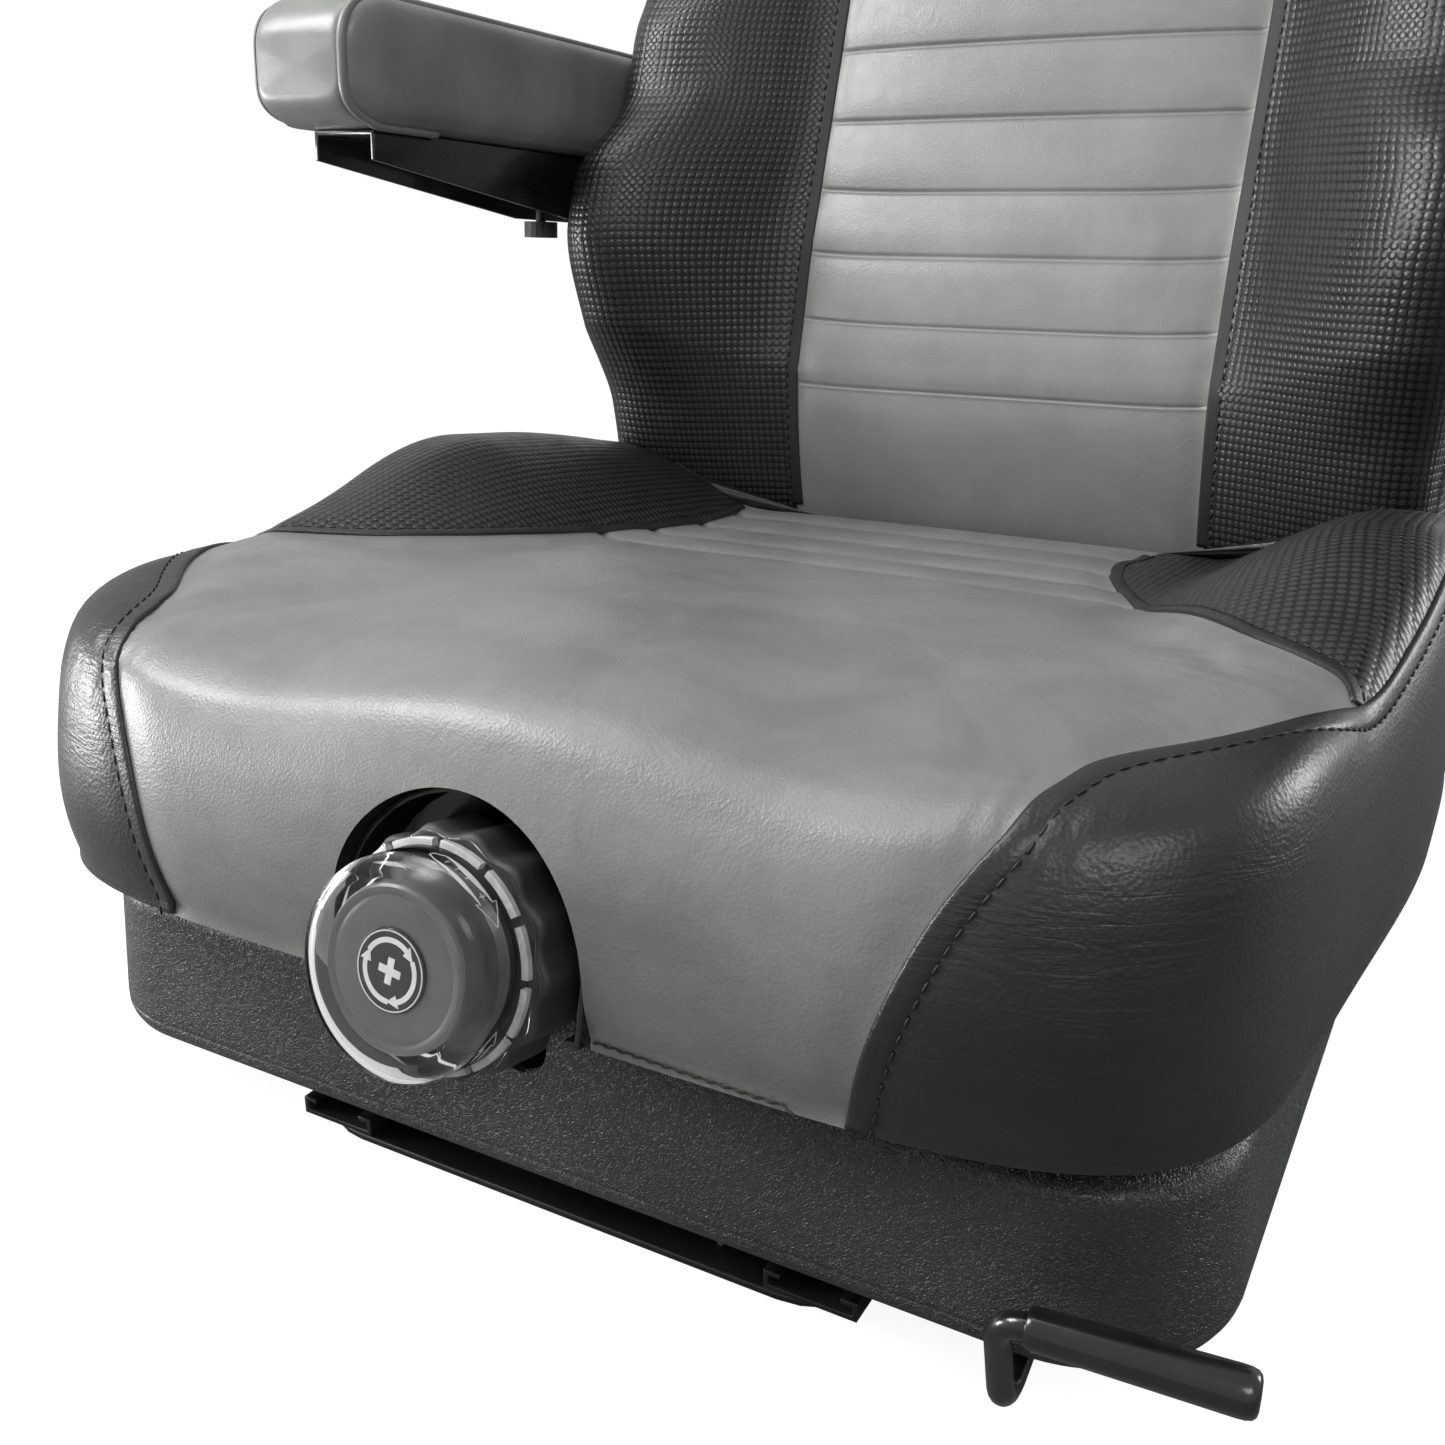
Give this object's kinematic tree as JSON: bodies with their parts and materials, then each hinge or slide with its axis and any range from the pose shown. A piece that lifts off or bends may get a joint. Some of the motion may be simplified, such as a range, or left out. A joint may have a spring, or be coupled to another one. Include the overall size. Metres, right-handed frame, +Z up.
{
  "type": "tractor suspension seat",
  "caption": "Low suspension seat with a grey and black vinyl cushion and winged backrest, folding armrests, a weight knob and a slide lever.",
  "frame": {"origin": "middle of the base plate's underside, midway between the rails", "axes": "+Z up, the seat faces -Y, +X is the occupant's left"},
  "size_m": [0.646, 0.7664, 0.65],
  "materials": {
    "black_powder_coat": "satin",
    "zinc_plated_steel": "satin",
    "grained_black_plastic": "textured matte",
    "gloss_black_plastic": "gloss",
    "matt_black_plastic": "matte",
    "clear_plastic": "clear",
    "dial_grey": "satin",
    "emblem_black": "satin",
    "white_nylon": "satin",
    "grey_vinyl": "satin grained",
    "black_vinyl": "satin grained"
  },
  "bodies": {
    "base": {"base_plate": "black_powder_coat", "lower_rail_left": "zinc_plated_steel", "lower_rail_right": "zinc_plated_steel", "lock_strip": "zinc_plated_steel"},
    "carriage": {"upper_rail_left": "zinc_plated_steel", "upper_rail_right": "zinc_plated_steel", "lower_frame": "black_powder_coat", "rear_lower_shaft": "zinc_plated_steel", "lower_cover": "grained_black_plastic", "cover_bracket_left": "black_powder_coat", "cover_bracket_right": "black_powder_coat"},
    "slide_lever": {"lever_rod": "gloss_black_plastic", "lever_grip": "gloss_black_plastic", "slide_latch": "gloss_black_plastic"},
    "outer_arms": {"outer_arm_left": "black_powder_coat", "outer_arm_right": "black_powder_coat", "outer_tie_tube": "black_powder_coat"},
    "inner_arms": {"inner_arm_left": "black_powder_coat", "inner_arm_right": "black_powder_coat", "inner_tie_tube": "black_powder_coat", "spring_bar": "zinc_plated_steel"},
    "upper_rollers": {"upper_roller_shaft": "zinc_plated_steel", "upper_roller_left": "white_nylon", "upper_roller_right": "white_nylon"},
    "lower_rollers": {"lower_roller_shaft": "zinc_plated_steel", "lower_roller_left": "white_nylon", "lower_roller_right": "white_nylon"},
    "seat": {"upper_frame": "black_powder_coat", "rear_upper_shaft": "zinc_plated_steel", "seat_pan": "black_powder_coat", "seat_cushion": "grey_vinyl", "knob_bezel": "gloss_black_plastic", "recline_bracket_left": "black_powder_coat", "recline_bracket_right": "black_powder_coat", "weight_spring_left": "zinc_plated_steel", "weight_spring_right": "zinc_plated_steel"},
    "weight_knob": {"knob_wheel": "matt_black_plastic", "knob_cap": "clear_plastic", "knob_dial": "dial_grey", "knob_emblem": "emblem_black", "knob_spindle": "zinc_plated_steel"},
    "tension_block": {"tension_block": "black_powder_coat"},
    "damper_body": {"damper_body": "black_powder_coat"},
    "damper_rod": {"damper_rod": "zinc_plated_steel"},
    "backrest": {"back_cushion": "black_vinyl", "back_panel": "grained_black_plastic", "back_pan": "black_powder_coat", "back_leg_left": "black_powder_coat", "back_leg_right": "black_powder_coat", "armrest_cross_tube": "black_powder_coat"},
    "recline_lever": {"recline_rod": "gloss_black_plastic", "recline_grip": "gloss_black_plastic"},
    "armrest_left": {"armrest_channel_left": "black_powder_coat", "armrest_pad_left": "grey_vinyl"},
    "adjuster_left": {"armrest_adjuster_left": "matt_black_plastic"},
    "armrest_right": {"armrest_channel_right": "black_powder_coat", "armrest_pad_right": "grey_vinyl"},
    "adjuster_right": {"armrest_adjuster_right": "matt_black_plastic"}
  },
  "joints": [
    {"name": "fore_aft_slide", "type": "slide", "parent": "base", "child": "carriage", "axis": [0, -1, 0], "range_m": [-0.06, 0.06]},
    {"name": "slide_lever_lift", "type": "hinge", "parent": "carriage", "child": "slide_lever", "pos_m": [0, -0.164, 0.031], "axis": [-1, 0, 0], "range_deg": [0, 4.5], "stiffness_Nm_per_rad": 3, "springref_deg": -11.46},
    {"name": "suspension", "type": "hinge", "parent": "carriage", "child": "outer_arms", "pos_m": [0, 0.135, 0.0342], "axis": [1, 0, 0], "range_deg": [0, 8.06], "stiffness_Nm_per_rad": 1200, "springref_deg": -6.3, "deforming": ["weight_spring_left", "weight_spring_right"]},
    {"name": "scissor_centre", "type": "hinge", "parent": "outer_arms", "child": "inner_arms", "pos_m": [0, 0.00283, 0.08035], "axis": [1, 0, 0], "range_deg": [-16.63, 0.5], "deforming": ["weight_spring_left", "weight_spring_right"]},
    {"name": "seat_level", "type": "hinge", "parent": "inner_arms", "child": "seat", "pos_m": [0, 0.135, 0.1265], "axis": [1, 0, 0], "range_deg": [-0.5, 8.56], "deforming": ["weight_spring_left", "weight_spring_right"]},
    {"name": "lower_roller_spin", "type": "hinge", "parent": "inner_arms", "child": "lower_rollers", "pos_m": [0, -0.12935, 0.0342], "axis": [1, 0, 0], "range_deg": [-3, 61]},
    {"name": "upper_roller_spin", "type": "hinge", "parent": "outer_arms", "child": "upper_rollers", "pos_m": [0, -0.12935, 0.1265], "axis": [1, 0, 0], "range_deg": [-61, 3]},
    {"name": "damper_swing", "type": "hinge", "parent": "carriage", "child": "damper_body", "pos_m": [-0.082, -0.045, 0.036], "axis": [1, 0, 0], "range_deg": [-17.66, 1]},
    {"name": "damper_stroke", "type": "slide", "parent": "damper_body", "child": "damper_rod", "axis": [0, 0.8404, 0.5419], "range_m": [-0.0175, 0.001]},
    {"name": "weight_knob_turn", "type": "hinge", "parent": "seat", "child": "weight_knob", "pos_m": [0, -0.2256, 0.1317], "axis": [0, -0.9781, 0.2079], "range_deg": [-1080, 1080]},
    {"name": "tension_travel", "type": "slide", "parent": "seat", "child": "tension_block", "axis": [0, -0.9781, 0.2079], "range_m": [-0.0076, 0.0076], "deforming": ["weight_spring_left", "weight_spring_right"]},
    {"name": "recline", "type": "hinge", "parent": "seat", "child": "backrest", "pos_m": [0, 0.3, 0.157], "axis": [-1, 0, 0], "range_deg": [0, 25]},
    {"name": "recline_lever_lift", "type": "hinge", "parent": "seat", "child": "recline_lever", "pos_m": [-0.2049, 0.3, 0.157], "axis": [-1, 0, 0], "range_deg": [0, 20], "stiffness_Nm_per_rad": 1.2, "springref_deg": -20.05},
    {"name": "armrest_left", "type": "hinge", "parent": "backrest", "child": "armrest_left", "pos_m": [0, 0.41, 0.4], "axis": [-1, 0, 0], "range_deg": [0, 95]},
    {"name": "adjuster_left_turn", "type": "hinge", "parent": "armrest_left", "child": "adjuster_left", "pos_m": [0.278, 0.21092, 0.3846], "axis": [0, -0.0523, -0.9986], "continuous": true},
    {"name": "armrest_right", "type": "hinge", "parent": "backrest", "child": "armrest_right", "pos_m": [0, 0.41, 0.4], "axis": [-1, 0, 0], "range_deg": [0, 95]},
    {"name": "adjuster_right_turn", "type": "hinge", "parent": "armrest_right", "child": "adjuster_right", "pos_m": [-0.278, 0.21092, 0.3846], "axis": [0, -0.0523, -0.9986], "continuous": true}
  ],
  "couplings": [
    {"joint": "scissor_centre", "follows": "suspension", "ratio": -2},
    {"joint": "seat_level", "follows": "suspension", "ratio": 1},
    {"joint": "lower_roller_spin", "follows": "suspension", "ratio": 7.1184},
    {"joint": "upper_roller_spin", "follows": "suspension", "ratio": -7.1184},
    {"joint": "damper_swing", "follows": "suspension", "ratio": -2.0656},
    {"joint": "damper_stroke", "follows": "suspension", "m_per_rad": -0.11309},
    {"joint": "tension_travel", "follows": "weight_knob_turn", "m_per_rad": 0.0003979}
  ]
}
